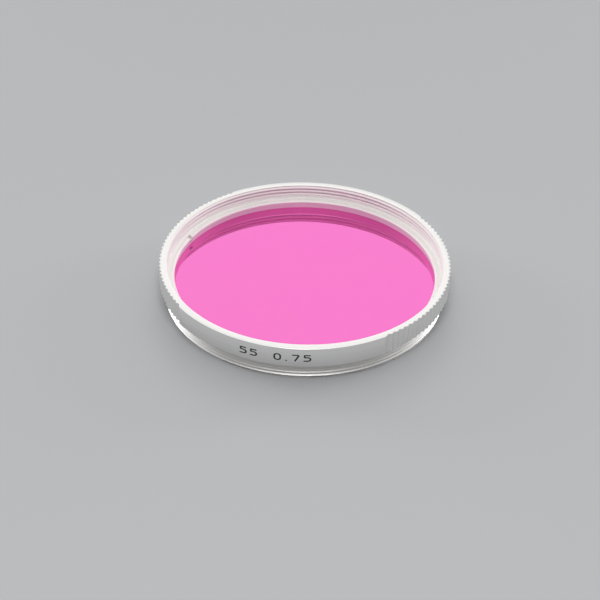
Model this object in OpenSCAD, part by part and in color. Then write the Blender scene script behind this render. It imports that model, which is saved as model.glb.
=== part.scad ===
// Screw-in filter for a camera lens, lying on its rear thread.
// A turned rim carries a male thread behind, a female thread in front and a
// grip band between them. A coated glass disc rests on a lip in the rim, and
// a threaded ring with two spanner slots holds it down from the front.
// Z points from the lens to the subject. The origin is the centre of the rear
// face, and X and Y lie in that face.

/* [Mounting threads] */
// Nominal diameter of the rear and front threads
thread_d = 55; // [37:0.5:86]
// Pitch of the rear and front threads
thread_pitch = 0.75; // [0.5:0.05:1]
// Height of the rear stub, from its end to the grip band
stub_h = 3.65; // [3.4:0.05:6]
// Height of the relief groove between the stub's thread and the grip band
relief_h = 0.65; // [0.4:0.05:1.2]
// Depth of the front bore, from the front face to the ring's shelf
front_bore_h = 2.75; // [2.2:0.05:4]
// Chamfer that leads into the front thread
front_lead = 0.25; // [0.1:0.05:0.4]
// Chamfer that leads into the rear thread
rear_lead = 0.1; // [0.05:0.05:0.4]
// Height of the run-out from the rear thread down to the relief groove
run_out = 0.25; // [0.1:0.05:0.5]

/* [Grip band] */
// Height of the grip band
band_h = 3.95; // [3:0.05:8]
// Radial distance from the nominal thread to the surface of the band
band_wall = 1.25; // [1:0.05:4]
// Chamfer on the two outer edges of the band
band_edge = 0.05; // [0.03:0.01:0.3]
// Groups of flutes round the band
grip_sections = 2; // [1:1:3]
// Flutes in each group
flutes = 36; // [8:1:44]
// Angle from the first to the last flute of a group
grip_angle = 90; // [60:1:100]
// Depth of a flute below the plain band
flute_depth = 0.5; // [0.3:0.05:0.8]
// How far the crests between flutes lie below the plain band
crest_drop = 0.1; // [0.02:0.01:0.15]
// Azimuth of the middle of the plain stretch that faces front
plain_azimuth = -101.5; // [-180:0.5:180]

/* [Glass] */
// Thickness of the glass disc
glass_t = 2; // [1:0.1:2.4]
// Chamfer on the two edges of the glass disc
glass_edge = 0.2; // [0.1:0.05:0.4]
// Height of the lip that carries the glass
lip_h = 1.1; // [0.6:0.05:1.4]
// Width of the lip under the glass
lip_w = 0.75; // [0.5:0.05:1.5]
// Radial play of the glass in its bore
glass_play = 0.05; // [0.02:0.01:0.1]

/* [Retaining ring] */
// Wall of the rim between the relief groove and the ring's thread
stub_wall = 0.54; // [0.4:0.02:1.2]
// Radial step from the ring's bore in to the bore of the glass
glass_step = 0.25; // [0.15:0.05:0.4]
// Width of the ring, from its thread in to its clear opening
ring_w = 0.82; // [0.7:0.02:1.4]
// How far the top of the ring lies below the shelf round it
ring_drop = 0.02; // [0:0.01:0.3]
// Chamfer round the ring's clear opening
ring_edge = 0.3; // [0.1:0.05:0.4]
// Height of the nose that reaches down to the glass
nose_h = 0.3; // [0.2:0.05:0.5]
// Radial play of the ring in its bore
ring_play = 0.05; // [0.02:0.01:0.1]
// Width of a spanner slot
slot_w = 1; // [0.6:0.1:1.6]
// Depth of a spanner slot
slot_depth = 0.9; // [0.4:0.05:1.1]
// Azimuth of one spanner slot. The other one lies opposite.
slot_azimuth = 154.5; // [0:0.5:180]

/* [Hidden] */
$fn = 256;

// Thread form of metric screws: depth of the male and the female thread as
// shares of the pitch
male_share = 0.6134;
female_share = 0.5413;

thread_r = thread_d / 2;
relief_r = thread_r - male_share * thread_pitch;
front_bore_r = thread_r - female_share * thread_pitch;
total_h = stub_h + band_h;

band_r = thread_r + band_wall;
crest_r = band_r - crest_drop;
valley_r = band_r - flute_depth;
flute_step = grip_angle / (flutes - 1);
// Neighbouring flutes meet at the crest, half a step from each valley
crest_x = crest_r * cos(flute_step / 2);
crest_y = crest_r * sin(flute_step / 2);
flute_slope = crest_y / (crest_x - valley_r);
flute_reach = band_r + 0.3;

ring_bore_r = relief_r - stub_wall;
ring_r = ring_bore_r - ring_play;
glass_bore_r = ring_bore_r - glass_step;
nose_r = glass_bore_r - ring_play;
glass_r = glass_bore_r - glass_play;
lip_r = glass_bore_r - lip_w;
ring_hole_r = ring_bore_r - ring_w;

shelf_z = total_h - front_bore_h;
glass_top_z = lip_h + glass_t;
ring_top_z = shelf_z - ring_drop;
ring_bore_z = glass_top_z + nose_h / 2;
nose_z = glass_top_z + nose_h;

// Turned section of the rim, from the axis outwards
module rim_section() {
    polygon([
        [lip_r, 0],
        [thread_r - rear_lead, 0],
        [thread_r, rear_lead],
        [thread_r, stub_h - relief_h - run_out],
        [relief_r, stub_h - relief_h],
        [relief_r, stub_h],
        [band_r - band_edge, stub_h],
        [band_r, stub_h + band_edge],
        [band_r, total_h - band_edge],
        [band_r - band_edge, total_h],
        [front_bore_r + front_lead, total_h],
        [front_bore_r, total_h - front_lead],
        [front_bore_r, shelf_z],
        [ring_bore_r, shelf_z],
        [ring_bore_r, ring_bore_z],
        [glass_bore_r, ring_bore_z],
        [glass_bore_r, lip_h],
        [lip_r, lip_h],
    ]);
}

// One V-shaped flute along X, open to the outside of the band
module flute() {
    half_w = (flute_reach - valley_r) * flute_slope;
    polygon([[valley_r, 0], [flute_reach, half_w], [flute_reach, -half_w]]);
}

// All flutes: groups spread evenly round the band, a plain stretch in front
module flute_groups() {
    for (group = [0 : grip_sections - 1])
        for (i = [0 : flutes - 1])
            rotate(plain_azimuth + (group + 0.5) * 360 / grip_sections - grip_angle / 2 + i * flute_step)
                flute();
}

module rim() {
    color("gainsboro")
        difference() {
            rotate_extrude() rim_section();
            translate([0, 0, stub_h - relief_h / 2])
                linear_extrude(height = band_h + relief_h)
                    flute_groups();
        }
}

// Section of the ring: a threaded head above a nose that presses on the glass
module ring_section() {
    polygon([
        [ring_hole_r, glass_top_z],
        [nose_r, glass_top_z],
        [nose_r, nose_z],
        [ring_r, nose_z],
        [ring_r, ring_top_z],
        [ring_hole_r + ring_edge, ring_top_z],
        [ring_hole_r, ring_top_z - ring_edge],
    ]);
}

module retaining_ring() {
    color("silver")
        difference() {
            rotate_extrude() ring_section();
            // Both spanner slots are one cut right across the ring
            rotate(slot_azimuth)
                translate([-thread_r, -slot_w / 2, ring_top_z - slot_depth])
                    cube([thread_d, slot_w, 2 * slot_depth]);
        }
}

module filter_glass() {
    color("hotpink")
        rotate_extrude()
            polygon([
                [0, lip_h],
                [glass_r - glass_edge, lip_h],
                [glass_r, lip_h + glass_edge],
                [glass_r, glass_top_z - glass_edge],
                [glass_r - glass_edge, glass_top_z],
                [0, glass_top_z],
            ]);
}

rim();
retaining_ring();
filter_glass();
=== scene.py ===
# %% [markdown]
# # A screw-in camera lens filter
#
# The filter is a turned aluminium rim, a disc of coated glass and a thin threaded ring that holds the
# glass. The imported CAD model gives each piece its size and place. This script adds what such a model
# leaves plain: the screw threads, the broken edges, the filled numerals and the finishes.
#
# All lengths below are written in millimetres and turned into metres in one place, where a mesh is made.

import math

import bmesh
import bpy
import numpy as np
from mathutils import Matrix, Vector


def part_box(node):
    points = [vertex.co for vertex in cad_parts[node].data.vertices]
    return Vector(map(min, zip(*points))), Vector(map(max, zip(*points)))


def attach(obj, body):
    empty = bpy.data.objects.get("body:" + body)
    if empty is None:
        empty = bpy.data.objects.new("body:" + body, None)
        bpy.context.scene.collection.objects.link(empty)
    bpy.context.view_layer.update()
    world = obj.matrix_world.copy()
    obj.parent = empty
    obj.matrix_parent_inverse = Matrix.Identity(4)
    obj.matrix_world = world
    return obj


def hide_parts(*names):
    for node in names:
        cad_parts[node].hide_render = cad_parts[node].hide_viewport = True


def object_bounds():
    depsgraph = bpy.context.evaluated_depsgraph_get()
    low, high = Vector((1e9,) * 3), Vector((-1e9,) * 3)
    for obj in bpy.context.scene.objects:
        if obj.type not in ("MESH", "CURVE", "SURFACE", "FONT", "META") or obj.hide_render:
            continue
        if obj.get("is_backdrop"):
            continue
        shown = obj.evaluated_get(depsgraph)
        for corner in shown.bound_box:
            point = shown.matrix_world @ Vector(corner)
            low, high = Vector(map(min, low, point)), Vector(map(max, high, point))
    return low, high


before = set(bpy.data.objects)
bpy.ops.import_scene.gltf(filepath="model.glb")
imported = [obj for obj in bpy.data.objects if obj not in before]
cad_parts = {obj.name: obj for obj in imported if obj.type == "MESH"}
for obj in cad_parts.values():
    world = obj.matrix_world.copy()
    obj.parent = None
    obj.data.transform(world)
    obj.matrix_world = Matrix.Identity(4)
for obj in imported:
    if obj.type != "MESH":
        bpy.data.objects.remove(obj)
cad_low, cad_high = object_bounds()
MM = 0.001
print("frame nodes:", sorted(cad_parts))
print("frame height in mm:", round((cad_high.z - cad_low.z) / MM, 3))

# %% [markdown]
# ## Sizes
#
# A 55 mm filter has an M55 x 0.75 thread at both ends. A 60 degree thread is 0.6134 of its pitch deep
# on the outside and 0.5413 of it on the inside, which gives the relief groove and the front bore. The
# other numbers are those of the CAD part. The cell prints how far each top lies from the frame's box.

# %% Sizes in millimetres
THREAD_R = 27.5
PITCH = 0.75
RELIEF_R = THREAD_R - 0.6134 * PITCH
FRONT_BORE_R = THREAD_R - 0.5413 * PITCH
LEAD = 0.25
REAR_LEAD = 0.1
RUN_OUT = 0.25

TOTAL_H = 7.6
STUB_H = 3.65
RELIEF_H = 0.65
SHELF_Z = 4.85

BAND_R = 28.75
BAND_EDGE = 0.05
CREST_R = 28.65
VALLEY_R = 28.25
FLUTES = 36
GRIP_ANGLE = 90.0
PLAIN_AZIMUTH = -101.5

RING_BORE_R = RELIEF_R - 0.54
RING_CREST_R = RING_BORE_R - 0.01
RING_HOLE_R = RING_BORE_R - 0.82
RING_TOP_Z = SHELF_Z - 0.02
NOSE_Z = 3.4
SLOT_AZIMUTH = 154.5
SLOT_W = 1.0
SLOT_FLOOR_Z = RING_TOP_Z - 0.9
RING_EDGE = 0.3
RING_UNDERCUT = 0.3

GLASS_BORE_R = RING_BORE_R - 0.25
PLAY = 0.05
NOSE_R = GLASS_BORE_R - PLAY
GLASS_R = GLASS_BORE_R - PLAY
GLASS_EDGE = 0.2
GLASS_LOW_Z = 1.1
GLASS_TOP_Z = 3.1
LIP_R = GLASS_BORE_R - 0.75

written_tops = {"rim": TOTAL_H, "retaining_ring": RING_TOP_Z, "filter_glass": GLASS_TOP_Z}
for node_name, written_top in written_tops.items():
    low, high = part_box(node_name)
    print(f"{node_name}: top {high.z / MM:.3f} mm, off by {high.z / MM - written_top:.4f} mm")

# %% [markdown]
# ## From rows of a section to a closed mesh
#
# Everything on a lathe is a section carried round an axis. Each row of the grid is one corner of that
# section and each column is one azimuth. A plain revolve has the same radius and height in a whole
# row, but here both may change with the azimuth, so the same grid also holds flutes, slots and screw
# threads. The last column lies one full turn after the first. Points that fall on each other are
# merged, which closes the turn and removes the faces that have shrunk to nothing.

# %% Grid to mesh
SHARP = math.radians(38)
MERGE_M = 2e-7


def grid_piece(name, radii, heights, azimuths):
    """A closed turned piece. The three arrays are rows by columns, in mm, mm and degrees."""
    rows, columns = radii.shape
    angle = np.radians(azimuths)
    points = np.stack([radii * np.cos(angle), radii * np.sin(angle), heights], axis=-1) * MM
    index = np.arange(rows * columns).reshape(rows, columns)
    next_row = np.roll(index, -1, axis=0)
    quads = np.stack([index[:, :-1], index[:, 1:], next_row[:, 1:], next_row[:, :-1]], axis=-1)
    mesh = bpy.data.meshes.new(name)
    mesh.from_pydata(points.reshape(-1, 3).tolist(), [], quads.reshape(-1, 4).tolist())
    return closed_object(name, mesh)


def closed_object(name, mesh):
    """Merges doubles, turns the faces outwards, shades by angle and puts the mesh in the scene."""
    work = bmesh.new()
    work.from_mesh(mesh)
    bmesh.ops.remove_doubles(work, verts=work.verts, dist=MERGE_M)
    bmesh.ops.dissolve_degenerate(work, edges=work.edges, dist=1e-8)
    loose = [edge for edge in work.edges if not edge.link_faces]
    bmesh.ops.delete(work, geom=loose, context="EDGES")
    bmesh.ops.recalc_face_normals(work, faces=work.faces)
    open_edges = sum(1 for edge in work.edges if len(edge.link_faces) != 2)
    triangles = sum(len(face.verts) - 2 for face in work.faces)
    volume = work.calc_volume() / MM**3
    work.to_mesh(mesh)
    work.free()
    mesh.polygons.foreach_set("use_smooth", [True] * len(mesh.polygons))
    mesh.set_sharp_from_angle(angle=SHARP)
    obj = bpy.data.objects.new(name, mesh)
    bpy.context.scene.collection.objects.link(obj)
    print(f"{name}: {triangles} triangles, {open_edges} open edges, {volume:.1f} mm3")
    return obj


def plain_rows(section, columns):
    """The same corner in every column: arrays of radii and heights from a list of (r, z)."""
    corners = np.array(section, dtype=float)
    radii = np.repeat(corners[:, :1], columns, axis=1)
    heights = np.repeat(corners[:, 1:], columns, axis=1)
    return radii, heights


# %% [markdown]
# ## The columns and the flutes
#
# The grip has two groups of V-shaped flutes, one on each side, with plain stretches in front and
# behind. A milling cutter runs along the band and makes one flute per step of the dividing head, so
# every flute is a straight V and neighbours meet in a crest just under the plain surface. A column
# stands on every valley and crest and close beside each of them. The columns beside let the tip of
# the V be rounded by a few hundredths of a millimetre, as a real cutter and the anodising leave it.

# %% Columns and flutes
flute_step = GRIP_ANGLE / (FLUTES - 1)
half_step = math.radians(flute_step / 2)
flute_slope = CREST_R * math.sin(half_step) / (CREST_R * math.cos(half_step) - VALLEY_R)
first_valleys = [PLAIN_AZIMUTH + 90 - GRIP_ANGLE / 2, PLAIN_AZIMUTH + 270 - GRIP_ANGLE / 2]
SHARES = (-0.5, -0.44, -0.25, -0.06, 0.0, 0.06, 0.25, 0.44)
TIP_SHARE = 0.06
PLAIN_STEP = 0.5


def sharp_flute_radius(azimuths):
    """Radius of the fluted band with sharp Vs, in mm, for azimuths in degrees."""
    radius = np.full(azimuths.shape, BAND_R)
    for first in first_valleys:
        along = (azimuths - first + 180 - GRIP_ANGLE / 2) % 360 - 180 + GRIP_ANGLE / 2
        nearest = np.clip(np.round(along / flute_step), 0, FLUTES - 1)
        off = np.radians(np.abs(along - nearest * flute_step))
        flank = flute_slope * np.cos(off) - np.sin(off)
        reach = np.where(flank > 0.2, VALLEY_R * flute_slope / np.maximum(flank, 0.2), BAND_R)
        radius = np.minimum(radius, reach)
    return radius


def flute_radius(azimuths):
    """The same with tips and valleys rounded: a mean over a short stretch of the band."""
    near = TIP_SHARE * flute_step
    before = sharp_flute_radius(azimuths - near)
    after = sharp_flute_radius(azimuths + near)
    return (before + 2 * sharp_flute_radius(azimuths) + after) / 4


start = PLAIN_AZIMUTH + 180 - 360
marks = [start, start + 360]
for first in first_valleys:
    for flute in range(-1, FLUTES + 1):
        for share in SHARES:
            marks.append((first + (flute + share) * flute_step - start) % 360 + start)
marks = sorted(marks)
columns_list = []
for here, there in zip(marks[:-1], marks[1:]):
    pieces = max(1, math.ceil((there - here) / PLAIN_STEP))
    columns_list += [here + (there - here) * i / pieces for i in range(pieces)]
columns = np.array(columns_list + [marks[-1]])
band_radius = flute_radius(columns)
print("columns:", len(columns), "flute step in mm:", round(math.radians(flute_step) * BAND_R, 3))
print("band radius from", round(band_radius.min(), 3), "to", round(band_radius.max(), 3))

# %% [markdown]
# ## The screw threads
#
# A metric thread is a 60 degree V with flats on crest and root. Both threads here are right-handed,
# so they climb one pitch for each turn anticlockwise when seen from the front. A thread is made of
# rows that follow the helix. Where a row would leave the threaded zone it is held at the zone's
# end circle, so the thread starts and ends in the thin crescents that a real lathe leaves. The lead
# chamfer is a cone that cuts the crests down.
#
# A profile is a list of heights and radii over one pitch, counted from the middle of the male crest or
# of the female groove. Its corners are rounded by one more point each.

# %% Threads
turns_done = (columns + 90) / 360


def thread_rows(profile, at_front, low, high, low_radius, high_radius, limit):
    """Rows of a helical thread, rising. at_front is the height of the profile's middle at azimuth -90."""
    radii, heights = [], []
    first_turn = math.floor((low - at_front) / PITCH) - 3
    last_turn = math.ceil((high - at_front) / PITCH) + 3
    for turn in range(first_turn, last_turn):
        for offset, radius in profile:
            height = at_front + offset + (turn + turns_done) * PITCH
            if not ((height > low) & (height < high)).any():
                continue
            cut = limit(radius, height)
            cut = np.where(height <= low, low_radius, cut)
            cut = np.where(height >= high, high_radius, cut)
            radii.append(cut)
            heights.append(np.clip(height, low, high))
    return np.array(radii), np.array(heights)


male_profile = [
    (-0.110, 27.391),
    (-PITCH / 16, 27.475),
    (0.0, 27.49),
    (PITCH / 16, 27.475),
    (0.110, 27.391),
    (0.300, 27.062),
    (PITCH / 2, 27.035),
    (0.450, 27.062),
]
male_low, male_high = 0.0, STUB_H - RELIEF_H
MALE_CREST_FRONT = 0.37


def male_limit(radius, height):
    """Crests cut by the lead chamfer behind and by the run-out to the relief groove."""
    lead_cone = THREAD_R - REAR_LEAD + (height - male_low)
    run_out = RELIEF_R + (male_high - height) * (THREAD_R - RELIEF_R) / RUN_OUT
    return np.minimum(radius, np.minimum(lead_cone, run_out))


male_r, male_z = thread_rows(
    male_profile,
    MALE_CREST_FRONT,
    male_low,
    male_high,
    THREAD_R - REAR_LEAD,
    RELIEF_R,
    male_limit,
)

female_profile = [
    (-0.110, 27.391),
    (-PITCH / 16, 27.475),
    (0.0, 27.49),
    (PITCH / 16, 27.475),
    (0.110, 27.391),
    (0.245, 27.158),
    (0.305, 27.108),
    (PITCH / 2, FRONT_BORE_R),
    (0.445, 27.108),
    (0.505, 27.158),
]
FEMALE_DEPTH = 2.05
FIRST_CREST_DEPTH = 0.15
female_low, female_high = TOTAL_H - FEMALE_DEPTH, TOTAL_H
FEMALE_GROOVE_FRONT = TOTAL_H - FIRST_CREST_DEPTH - PITCH / 2


def female_limit(radius, height):
    """Grooves that fade out below, and the lead chamfer that opens the bore in front."""
    fade = FRONT_BORE_R + np.maximum(height - female_low, 0)
    lead_cone = FRONT_BORE_R + LEAD - (female_high - height)
    return np.maximum(np.minimum(radius, fade), lead_cone)


female_r, female_z = thread_rows(
    female_profile,
    FEMALE_GROOVE_FRONT,
    female_low,
    female_high,
    FRONT_BORE_R,
    FRONT_BORE_R + LEAD,
    female_limit,
)
print("thread rows: male", len(male_r), "female", len(female_r))

# %% [markdown]
# ## The rim
#
# The rim is one part, turned from a ring of aluminium. Its section starts at the lip that carries the
# glass, runs out along the rear face, up over the male thread, the relief groove and the grip band,
# across the front face and down again through the female thread and the stepped bores. The rows of
# the band take the smaller of their own radius and the flutes' radius. Edges that the fingers or the
# light would find are broken by a few hundredths of a millimetre.

# %% Rim
BREAK = 0.05
FINE_BREAK = 0.015


def band_row(radius, height):
    """One row of the band, cut back by the flutes."""
    return np.minimum(radius, band_radius)[None], np.full((1, len(columns)), height)


rear_face = [(LIP_R, BREAK), (LIP_R + BREAK, 0), (THREAD_R - REAR_LEAD, 0)]
relief = [(RELIEF_R, male_high), (RELIEF_R, STUB_H - BREAK), (RELIEF_R + BREAK, STUB_H)]
seat_z = (GLASS_TOP_Z + NOSE_Z) / 2
bores = [
    (FRONT_BORE_R, female_low),
    (FRONT_BORE_R, SHELF_Z + BREAK),
    (FRONT_BORE_R - BREAK, SHELF_Z),
    (RING_BORE_R + FINE_BREAK, SHELF_Z),
    (RING_BORE_R, SHELF_Z - FINE_BREAK),
    (RING_BORE_R, seat_z),
    (GLASS_BORE_R, seat_z),
    (GLASS_BORE_R, GLASS_LOW_Z),
    (LIP_R + BREAK, GLASS_LOW_Z),
    (LIP_R, GLASS_LOW_Z - BREAK),
]
rim_parts = [
    plain_rows(rear_face, len(columns)),
    (male_r, male_z),
    plain_rows(relief, len(columns)),
    band_row(BAND_R - BAND_EDGE, STUB_H),
    band_row(BAND_R - BAND_EDGE / 3, STUB_H + BAND_EDGE / 3),
    band_row(BAND_R, STUB_H + BAND_EDGE),
    band_row(BAND_R, TOTAL_H - BAND_EDGE),
    band_row(BAND_R - BAND_EDGE / 3, TOTAL_H - BAND_EDGE / 3),
    band_row(BAND_R - BAND_EDGE, TOTAL_H),
    plain_rows([(FRONT_BORE_R + LEAD, TOTAL_H)], len(columns)),
    (female_r[::-1], female_z[::-1]),
    plain_rows(bores, len(columns)),
]
rim_r = np.concatenate([part[0] for part in rim_parts])
rim_z = np.concatenate([part[1] for part in rim_parts])
rim = grid_piece("turned_rim", rim_r, rim_z, np.broadcast_to(columns, rim_r.shape))
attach(rim, "root")
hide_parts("rim")

# %% [markdown]
# ## The retaining ring
#
# A thin ring screws down onto the glass. Its fine thread reaches into that of the bore, so its outer
# wall is drawn out to the crest of that thread, and no gap shows where the CAD part has two plain
# walls with play between them. Its inner wall leans back under the edge, as the photo's mirror image
# of it in the glass shows: the wall is darker there than a straight one would be.
#
# Two spanner slots are sawn right across the ring, so their walls are parallel. Each wall is a pair of
# columns at the same place: one keeps the full height and the other is cut down to the slot's floor.
# The azimuth of a wall depends on the radius of its row, and that keeps the walls parallel.

# %% Retaining ring
NOSE_BREAK = 0.03
RING_STEPS = 236
wall_top = RING_TOP_Z - RING_EDGE
wall_share = (wall_top - SLOT_FLOOR_Z) / (wall_top - GLASS_TOP_Z)
ring_section = [
    (RING_HOLE_R + RING_UNDERCUT, GLASS_TOP_Z),
    (NOSE_R - NOSE_BREAK, GLASS_TOP_Z),
    (NOSE_R, GLASS_TOP_Z + NOSE_BREAK),
    (NOSE_R, NOSE_Z),
    (RING_CREST_R, NOSE_Z),
    (RING_CREST_R, RING_TOP_Z - FINE_BREAK),
    (RING_CREST_R - FINE_BREAK, RING_TOP_Z),
    (RING_HOLE_R + RING_EDGE, RING_TOP_Z),
    (RING_HOLE_R, wall_top),
    (RING_HOLE_R + RING_UNDERCUT * wall_share, SLOT_FLOOR_Z),
]
ring_radii = np.array(ring_section)[:, 0]
ring_heights = np.array(ring_section)[:, 1]
wall_angle = np.degrees(np.arcsin(SLOT_W / 2 / ring_radii))
floor_heights = np.minimum(ring_heights, SLOT_FLOOR_Z)

slot_columns = [
    (-1, ring_heights),
    (-1, floor_heights),
    (0, floor_heights),
    (1, floor_heights),
    (1, ring_heights),
]
ring_columns, ring_levels = [], []
for slot_middle in (SLOT_AZIMUTH - 180, SLOT_AZIMUTH):
    for side, level in slot_columns:
        ring_columns.append(slot_middle + side * wall_angle)
        ring_levels.append(level)
    for step in range(1, RING_STEPS):
        share = step / RING_STEPS
        ring_columns.append(slot_middle + wall_angle + share * (180 - 2 * wall_angle))
        ring_levels.append(ring_heights)
ring_columns.append(ring_columns[0] + 360)
ring_levels.append(ring_levels[0])
ring_azimuths = np.array(ring_columns).T
ring_z = np.array(ring_levels).T
ring_r = np.repeat(ring_radii[:, None], ring_azimuths.shape[1], axis=1)
ring = grid_piece("turned_ring", ring_r, ring_z, ring_azimuths)
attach(ring, "root")
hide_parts("retaining_ring")

# %% [markdown]
# ## The glass
#
# The disc is ground flat on both faces and has a fine chamfer on each edge, so that it doesn't chip
# when the ring is tightened. The coating is far too thin to model: it lives in the material.

# %% Glass
glass_section = [
    (0.0, GLASS_LOW_Z),
    (GLASS_R - GLASS_EDGE, GLASS_LOW_Z),
    (GLASS_R, GLASS_LOW_Z + GLASS_EDGE),
    (GLASS_R, GLASS_TOP_Z - GLASS_EDGE),
    (GLASS_R - GLASS_EDGE, GLASS_TOP_Z),
    (0.0, GLASS_TOP_Z),
]
glass_columns = np.linspace(0, 360, 361)
glass_r, glass_z = plain_rows(glass_section, len(glass_columns))
glass = grid_piece("glass_disc", glass_r, glass_z, np.broadcast_to(glass_columns, glass_r.shape))
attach(glass, "root")
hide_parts("filter_glass")

# %% [markdown]
# ## The filled numerals
#
# Filter rims carry their thread size on the plain stretch of the band. The characters are cut with a
# round-nosed cutter of one width and filled with black paint, so each is a stroke of even width with
# round ends. Each stroke is a path in the unrolled plane of the band. A flat ribbon follows the path
# and is then bent round the band, standing a few microns proud so that it hides the metal under it.
#
# A glyph is its corners in mm, the radius at each corner, and whether its path is closed. The layout
# gives each glyph its place along the band in mm.

# %% Numerals
STROKE_W = 0.32
GLYPH_H = 1.6
NUMERAL_LOW_Z = TOTAL_H - 2.9
NUMERAL_FIRST_AZIMUTH = -113.75
PAINT_PROUD = 0.006
PAINT_DEEP = 0.06
CORNER_STEPS = 8
CAP_ANGLES = np.radians(np.array([80, 60, 40, 20, 0]))


def rounded_path(corners, radii, closed=False):
    """Points along a path whose corners are rounded. radii has one number per corner."""
    points = []
    count = len(corners)
    for i, (corner, radius) in enumerate(zip(corners, radii)):
        here = np.array(corner, dtype=float)
        if radius == 0:
            points.append(here)
            continue
        back = np.array(corners[i - 1], dtype=float) - here
        ahead = np.array(corners[(i + 1) % count], dtype=float) - here
        back = back / np.linalg.norm(back)
        ahead = ahead / np.linalg.norm(ahead)
        half = math.acos(float(np.clip(back @ ahead, -1, 1))) / 2
        middle = here + (back + ahead) / np.linalg.norm(back + ahead) * radius / math.sin(half)
        start_arm = here + back * radius / math.tan(half) - middle
        end_arm = here + ahead * radius / math.tan(half) - middle
        first = math.atan2(start_arm[1], start_arm[0])
        turn = (math.atan2(end_arm[1], end_arm[0]) - first + math.pi) % (2 * math.pi) - math.pi
        for k in range(CORNER_STEPS + 1):
            angle = first + turn * k / CORNER_STEPS
            points.append(middle + radius * np.array([math.cos(angle), math.sin(angle)]))
    if closed:
        points.append(points[0])
    return np.array(points)


def even_path(points, spacing=0.05):
    """The same path with points at even distances."""
    lengths = np.concatenate([[0], np.cumsum(np.linalg.norm(np.diff(points, axis=0), axis=1))])
    count = max(8, math.ceil(lengths[-1] / spacing)) + 1
    even = np.linspace(0, lengths[-1], count)
    return np.stack([np.interp(even, lengths, points[:, axis]) for axis in (0, 1)], axis=1)


def ribbon(points, closed):
    """Left edge and right edge of a stroke of even width. Open strokes get round ends."""
    ahead = np.gradient(points, axis=0)
    if closed:
        ahead[0] = ahead[-1] = points[1] - points[-2]
    ahead = ahead / np.linalg.norm(ahead, axis=1)[:, None]
    across = np.stack([-ahead[:, 1], ahead[:, 0]], axis=1)
    half = np.full(len(points), STROKE_W / 2)
    if not closed:
        steps = len(CAP_ANGLES)
        cap_first = points[0] - ahead[0] * STROKE_W / 2 * np.sin(CAP_ANGLES)[:, None]
        cap_last = points[-1] + ahead[-1] * STROKE_W / 2 * np.sin(CAP_ANGLES[::-1])[:, None]
        points = np.concatenate([cap_first, points[1:-1], cap_last])
        first_across = np.repeat(across[:1], steps, 0)
        last_across = np.repeat(across[-1:], steps, 0)
        across = np.concatenate([first_across, across[1:-1], last_across])
        caps = STROKE_W / 2 * np.cos(CAP_ANGLES)
        half = np.concatenate([caps, half[1:-1], caps[::-1]])
    return points + across * half[:, None], points - across * half[:, None]


five = [(1.05, 1.6), (0.08, 1.6), (0.08, 0.98), (1.15, 0.98), (1.15, 0.0), (0.0, 0.0)]
seven = [(0.0, 1.6), (1.15, 1.6), (0.45, 0.0)]
zero = [(0.0, 0.0), (1.1, 0.0), (1.1, 1.6), (0.0, 1.6)]
point = [(0.28, -0.03), (0.3, -0.03)]
GLYPHS = {
    "5": (five, [0, 0.03, 0.03, 0.48, 0.48, 0], False),
    "7": (seven, [0, 0.13, 0], False),
    "0": (zero, [0.5, 0.5, 0.5, 0.5], True),
    ".": (point, [0, 0], False),
}
LAYOUT = [("5", 0.0), ("5", 2.04), ("0", 6.6), (".", 8.5), ("7", 10.0), ("5", 12.1)]


def numeral_mesh(name):
    """All strokes as closed ribbons on the band."""
    verts, faces = [], []
    inset = STROKE_W / 2
    for glyph, x0 in LAYOUT:
        corners, radii, closed = GLYPHS[glyph]
        path = even_path(rounded_path(corners, radii, closed))
        left, right = ribbon(path, closed)
        base = len(verts)
        for edge_left, edge_right in zip(left, right):
            for (x, y), depth in (
                (edge_left, PAINT_PROUD),
                (edge_right, PAINT_PROUD),
                (edge_right, -PAINT_DEEP),
                (edge_left, -PAINT_DEEP),
            ):
                angle = math.radians(NUMERAL_FIRST_AZIMUTH) + (x0 + x) / BAND_R
                radius = BAND_R + depth
                height = NUMERAL_LOW_Z + inset + y * (GLYPH_H - STROKE_W) / GLYPH_H
                verts.append((radius * math.cos(angle) * MM, radius * math.sin(angle) * MM, height * MM))
        count = len(left)
        for i in range(count - 1):
            for k in range(4):
                a, b = base + 4 * i + k, base + 4 * i + (k + 1) % 4
                faces.append((a, b, b + 4, a + 4))
        if not closed:
            faces.append((base, base + 1, base + 2, base + 3))
            end = base + 4 * (count - 1)
            faces.append((end, end + 1, end + 2, end + 3))
    mesh = bpy.data.meshes.new(name)
    mesh.from_pydata(verts, [], faces)
    return mesh


numerals = closed_object("band_numerals", numeral_mesh("band_numerals"))
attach(numerals, "root")

# %% [markdown]
# ## Materials
#
# Colours are written as the sRGB codes that a picture shows and turned into linear values by one
# function. Another small function adds a shader node, so that a material reads as a list of steps.

# %% Material helpers


def linear(code):
    """A colour code such as #E8E6E3 as linear RGB with alpha 1."""
    out = []
    for i in (1, 3, 5):
        value = int(code[i:i + 2], 16) / 255
        out.append(value / 12.92 if value <= 0.04045 else ((value + 0.055) / 1.055) ** 2.4)
    return (*out, 1.0)


def add_node(tree, kind, settings=None, inputs=None):
    """Adds one node, sets its options, and sets or links its inputs."""
    made = tree.nodes.new(kind)
    for key, value in (settings or {}).items():
        setattr(made, key, value)
    for key, value in (inputs or {}).items():
        if isinstance(value, bpy.types.NodeSocket):
            tree.links.new(value, made.inputs[key])
        else:
            made.inputs[key].default_value = value
    return made


def new_material(name):
    """An empty node material, with its tree and its surface shader."""
    material = bpy.data.materials.new(name)
    material.use_nodes = True
    tree = material.node_tree
    tree.nodes.clear()
    shader = tree.nodes.new("ShaderNodeBsdfPrincipled")
    output = tree.nodes.new("ShaderNodeOutputMaterial")
    tree.links.new(shader.outputs["BSDF"], output.inputs["Surface"])
    return material, tree, shader


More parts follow.
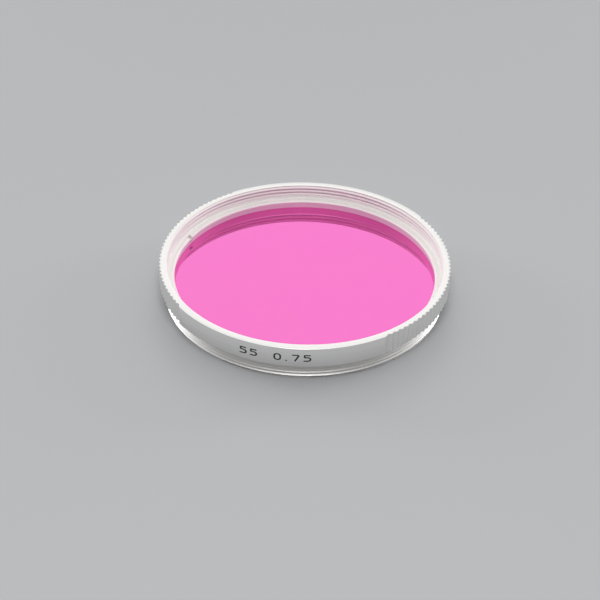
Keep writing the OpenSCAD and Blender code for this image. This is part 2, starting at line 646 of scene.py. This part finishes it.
def per_mm(size):
    """The scale of a pattern in object space, in metres, whose features are size mm wide."""
    return 1 / (size * MM)


# %% [markdown]
# ### Anodised aluminium
#
# The metal is turned, lightly blasted and then anodised in its natural silver. Two patterns matter
# at this size. The tool leaves marks that run round the axis: they change quickly with radius and
# height and hardly at all along the turn, so the noise is read from radius, height and direction
# instead of from x, y and z. The blasting leaves a fine even grain. Both move the roughness and the
# height of the surface, and the tool marks also move the colour a little.
#
# The grip band is masked while the rest is blasted and keeps the finer surface of its last cut, so
# its flutes glint. Its roughness is therefore lowered from just outside the thread's radius. The rear
# thread is cut after the blasting. Its flanks are brighter, so the turns stand out, and the roughness
# of everything below the band is lowered too, by less.

# %% Anodised aluminium


BAND_FINER = 0.36
STUB_FINER = 0.55
# The band's finer surface takes over between these radii, just inside the valleys of the flutes
FINER_FROM = THREAD_R + 0.4
FINER_TO = THREAD_R + 0.7


def anodised_aluminium(name, light, dark, mark, grain, rough, mark_depth, stub_finer):
    """Turned and anodised metal, with its patterns in mm. stub_finer holds below the grip band."""
    material, tree, shader = new_material(name)
    place = add_node(tree, "ShaderNodeTexCoord")
    parts = add_node(tree, "ShaderNodeSeparateXYZ", inputs={"Vector": place.outputs["Object"]})
    flat = add_node(
        tree, "ShaderNodeCombineXYZ", inputs={"X": parts.outputs["X"], "Y": parts.outputs["Y"]}
    )
    radius = add_node(
        tree, "ShaderNodeVectorMath", {"operation": "LENGTH"}, {0: flat.outputs["Vector"]}
    )
    direction = add_node(
        tree, "ShaderNodeVectorMath", {"operation": "NORMALIZE"}, {0: flat.outputs["Vector"]}
    )
    turn = add_node(tree, "ShaderNodeSeparateXYZ", inputs={"Vector": direction.outputs["Vector"]})
    radius_marks = add_node(
        tree, "ShaderNodeMath", {"operation": "MULTIPLY"}, {0: radius.outputs["Value"], 1: per_mm(mark)}
    )
    height_marks = add_node(
        tree, "ShaderNodeMath", {"operation": "MULTIPLY"}, {0: parts.outputs["Z"], 1: per_mm(mark)}
    )
    around = add_node(
        tree,
        "ShaderNodeCombineXYZ",
        inputs={"X": turn.outputs["X"], "Y": turn.outputs["Y"], "Z": radius_marks.outputs["Value"]},
    )
    marks_noise = add_node(
        tree,
        "ShaderNodeTexNoise",
        {"noise_dimensions": "4D"},
        {
            "Vector": around.outputs["Vector"],
            "W": height_marks.outputs["Value"],
            "Scale": 1.0,
            "Detail": 3.0,
        },
    )
    grain_noise = add_node(
        tree,
        "ShaderNodeTexNoise",
        inputs={"Vector": place.outputs["Object"], "Scale": per_mm(grain), "Detail": 2.0},
    )
    both = add_node(
        tree,
        "ShaderNodeMath",
        {"operation": "ADD"},
        {0: marks_noise.outputs["Fac"], 1: grain_noise.outputs["Fac"]},
    )
    colour = add_node(
        tree,
        "ShaderNodeMix",
        {"data_type": "RGBA"},
        {"Factor": marks_noise.outputs["Fac"], "A": linear(dark), "B": linear(light)},
    )
    tree.links.new(colour.outputs["Result"], shader.inputs["Base Color"])
    roughness = add_node(
        tree,
        "ShaderNodeMapRange",
        inputs={
            "Value": both.outputs["Value"],
            "From Min": 0.6,
            "From Max": 1.4,
            "To Min": rough[0],
            "To Max": rough[1],
        },
    )
    finer_outside = add_node(
        tree,
        "ShaderNodeMapRange",
        inputs={
            "Value": radius.outputs["Value"],
            "From Min": FINER_FROM * MM,
            "From Max": FINER_TO * MM,
            "To Min": 1.0,
            "To Max": BAND_FINER,
        },
    )
    finer_below = add_node(
        tree,
        "ShaderNodeMapRange",
        inputs={
            "Value": parts.outputs["Z"],
            "From Min": (STUB_H - BREAK) * MM,
            "From Max": STUB_H * MM,
            "To Min": stub_finer,
            "To Max": 1.0,
        },
    )
    finer = add_node(
        tree,
        "ShaderNodeMath",
        {"operation": "MULTIPLY"},
        {0: finer_outside.outputs["Result"], 1: finer_below.outputs["Result"]},
    )
    final_rough = add_node(
        tree,
        "ShaderNodeMath",
        {"operation": "MULTIPLY"},
        {0: roughness.outputs["Result"], 1: finer.outputs["Value"]},
    )
    tree.links.new(final_rough.outputs["Value"], shader.inputs["Roughness"])
    bump = add_node(
        tree,
        "ShaderNodeBump",
        inputs={"Strength": 1.0, "Distance": mark_depth * MM, "Height": both.outputs["Value"]},
    )
    tree.links.new(bump.outputs["Normal"], shader.inputs["Normal"])
    shader.inputs["Metallic"].default_value = 1.0
    return material


rim_metal = anodised_aluminium(
    "silver_anodised_aluminium", "#F6F5F3", "#E9E8E6", 0.35, 0.12, (0.78, 0.88), 0.002, STUB_FINER
)
# The ring is blasted all over, so nothing on it is finer
ring_metal = anodised_aluminium(
    "silver_anodised_aluminium_ring", "#F4F3F0", "#E8E7E4", 0.2, 0.1, (0.78, 0.88), 0.002, 1.0
)
rim.data.materials.append(rim_metal)
ring.data.materials.append(ring_metal)

# %% [markdown]
# ### Coated glass
#
# An interference coating is a stack of clear films. It reflects one band of colours like a mirror and
# lets the rest through. This one reflects red and blue and takes out green, so the disc looks like a
# pink mirror. A surface that is mostly a tinted mirror, with a little tinted glass behind it, shows
# that. Polished glass has almost no roughness, and the films vary a little in thickness over
# some 15 mm, which moves the colour by a shade.

# %% Coated glass
coated_glass, tree, shader = new_material("interference_coated_glass")
place = add_node(tree, "ShaderNodeTexCoord")
film = add_node(
    tree,
    "ShaderNodeTexNoise",
    inputs={"Vector": place.outputs["Object"], "Scale": per_mm(15), "Detail": 1.0},
)
tint = add_node(
    tree,
    "ShaderNodeMix",
    {"data_type": "RGBA"},
    {"Factor": film.outputs["Fac"], "A": linear("#FB80CC"), "B": linear("#FD7CD2")},
)
tree.links.new(tint.outputs["Result"], shader.inputs["Base Color"])
polish = add_node(
    tree,
    "ShaderNodeTexNoise",
    inputs={"Vector": place.outputs["Object"], "Scale": per_mm(3), "Detail": 3.0},
)
polish_range = add_node(
    tree,
    "ShaderNodeMapRange",
    inputs={"Value": polish.outputs["Fac"], "To Min": 0.01, "To Max": 0.035},
)
tree.links.new(polish_range.outputs["Result"], shader.inputs["Roughness"])
shader.inputs["Metallic"].default_value = 0.97
shader.inputs["Transmission Weight"].default_value = 1.0
shader.inputs["IOR"].default_value = 1.52
glass.data.materials.append(coated_glass)

# %% [markdown]
# ### Paint in the numerals
#
# The paint is a black lacquer, wiped into the cut strokes. It dries slightly uneven, so its roughness
# varies over a tenth of a millimetre.

# %% Paint
paint, tree, shader = new_material("black_filling_lacquer")
place = add_node(tree, "ShaderNodeTexCoord")
mottle = add_node(
    tree,
    "ShaderNodeTexNoise",
    inputs={"Vector": place.outputs["Object"], "Scale": per_mm(0.1), "Detail": 2.0},
)
shade = add_node(
    tree,
    "ShaderNodeMix",
    {"data_type": "RGBA"},
    {"Factor": mottle.outputs["Fac"], "A": linear("#08080A"), "B": linear("#1A191B")},
)
tree.links.new(shade.outputs["Result"], shader.inputs["Base Color"])
dry = add_node(
    tree,
    "ShaderNodeMapRange",
    inputs={"Value": mottle.outputs["Fac"], "To Min": 0.45, "To Max": 0.65},
)
tree.links.new(dry.outputs["Result"], shader.inputs["Roughness"])
shader.inputs["IOR"].default_value = 1.5
numerals.data.materials.append(paint)

# %% [markdown]
# ## Floor, light and sky
#
# The floor is a plain pale sheet. Satin metal shows its surroundings, so the light decides how the
# rim looks. The sky is brightest behind and above, where the glass and the front face mirror it
# towards the camera, and it falls off smoothly to the front.
#
# A weak soft lamp behind the part throws its shadow forwards. The upright band mirrors that shadow,
# which makes it darker than the front face. This lamp is left out of reflections, or the glass would
# show its disc. A second one above the camera lights the bore at the back, and two small low ones at
# the sides pick out the flutes and the turns of the thread.

# %% Floor
FLOOR_COLOUR = "#A3A4A6"
floor_mesh = bpy.data.meshes.new("floor")
floor_corners = [(-3, -3, 0), (3, -3, 0), (3, 3, 0), (-3, 3, 0)]
floor_mesh.from_pydata(floor_corners, [], [(0, 1, 2, 3)])
floor = bpy.data.objects.new("floor", floor_mesh)
bpy.context.scene.collection.objects.link(floor)
floor_paper, tree, shader = new_material("pale_paper")
shader.inputs["Base Color"].default_value = linear(FLOOR_COLOUR)
shader.inputs["Roughness"].default_value = 0.9
floor.data.materials.append(floor_paper)
floor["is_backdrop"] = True

# %% Sky
SKY_HIGH = 1.0
SKY_LOW = 0.25
SKY_FROM = -0.3
SKY_TO = 0.95
SKY_LEAN = math.radians(50)
world = bpy.data.worlds.new("studio_sky")
bpy.context.scene.world = world
world.use_nodes = True
tree = world.node_tree
tree.nodes.clear()
view_direction = add_node(tree, "ShaderNodeTexCoord")
up_and_back = (0.0, math.sin(SKY_LEAN), math.cos(SKY_LEAN))
height_in_sky = add_node(
    tree,
    "ShaderNodeVectorMath",
    {"operation": "DOT_PRODUCT"},
    {0: view_direction.outputs["Generated"], 1: up_and_back},
)
brightness = add_node(
    tree,
    "ShaderNodeMapRange",
    {"interpolation_type": "SMOOTHSTEP"},
    {
        "Value": height_in_sky.outputs["Value"],
        "From Min": SKY_FROM,
        "From Max": SKY_TO,
        "To Min": SKY_LOW,
        "To Max": SKY_HIGH,
    },
)
sky = add_node(
    tree,
    "ShaderNodeBackground",
    inputs={"Color": (1, 1, 1, 1), "Strength": brightness.outputs["Result"]},
)
add_node(tree, "ShaderNodeOutputWorld", inputs={"Surface": sky.outputs["Background"]})

# %% Lamps


def soft_lamp(name, place, size, energy, seen_in_metal):
    """A round soft lamp that looks at the part."""
    data = bpy.data.lights.new(name, "AREA")
    data.shape = "DISK"
    data.size = size
    data.energy = energy
    lamp = bpy.data.objects.new(name, data)
    lamp.location = place
    lamp.rotation_euler = (-Vector(place)).to_track_quat("-Z", "Y").to_euler()
    lamp.visible_glossy = seen_in_metal
    bpy.context.scene.collection.objects.link(lamp)
    lamp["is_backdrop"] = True


soft_lamp("back_lamp", (0.0, 0.73, 0.53), 0.35, 1.0, False)
soft_lamp("front_lamp", (0.0, -0.263, 0.539), 0.3, 1.7, True)
soft_lamp("left_lamp", (-0.45, 0.25, 0.1), 0.16, 0.75, True)
soft_lamp("right_lamp", (0.45, 0.25, 0.1), 0.16, 0.75, True)

# %% [markdown]
# ## Camera
#
# The camera was fitted to the picture: the ellipse of the front face's outer edge gives the elevation
# and the centre, and the way it widens towards the front gives the distance. The distance is written
# in radii of the rim, and the focal length in pixels of a picture 600 pixels wide.

# %% Camera
PICTURE = 600
SENSOR = 36.0
FOCAL_PX = 1543.09
DISTANCE_R = 10.5418
ELEVATION = math.radians(36.0705)
ROLL = math.radians(-1.2418)
CENTRE_PX = (305.023, 259.389)

ahead = Vector((0, math.cos(ELEVATION), -math.sin(ELEVATION)))
level_right = Vector((1, 0, 0))
level_down = ahead.cross(level_right)
right = math.cos(ROLL) * level_right + math.sin(ROLL) * level_down
down = -math.sin(ROLL) * level_right + math.cos(ROLL) * level_down
offset_right = (CENTRE_PX[0] - PICTURE / 2) / FOCAL_PX * DISTANCE_R
offset_down = (CENTRE_PX[1] - PICTURE / 2) / FOCAL_PX * DISTANCE_R
aim = Vector((0, 0, TOTAL_H * MM))
place_of_camera = aim - BAND_R * MM * (offset_right * right + offset_down * down + DISTANCE_R * ahead)

camera_data = bpy.data.cameras.new("camera")
camera_data.sensor_width = SENSOR
camera_data.lens = FOCAL_PX / PICTURE * SENSOR
camera_data.clip_start = 0.01
camera_data.clip_end = 20
camera = bpy.data.objects.new("camera", camera_data)
turned = Matrix((right, -down, -ahead)).transposed()
camera.matrix_world = Matrix.Translation(place_of_camera) @ turned.to_4x4()
bpy.context.scene.collection.objects.link(camera)
bpy.context.scene.camera = camera
bpy.context.scene.view_settings.view_transform = "Standard"
print("camera at mm:", [round(value / MM, 1) for value in place_of_camera])

# %% [markdown]
# ## Measure and finish
#
# The box of the finished pieces is compared with the box of the imported model.

# %% Measure and finish
new_low, new_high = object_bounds()
for axis, letter in enumerate("xyz"):
    frame_size = (cad_high[axis] - cad_low[axis]) / MM
    visual_size = (new_high[axis] - new_low[axis]) / MM
    print(f"{letter}: frame {frame_size:.3f} mm, visual {visual_size:.3f} mm")
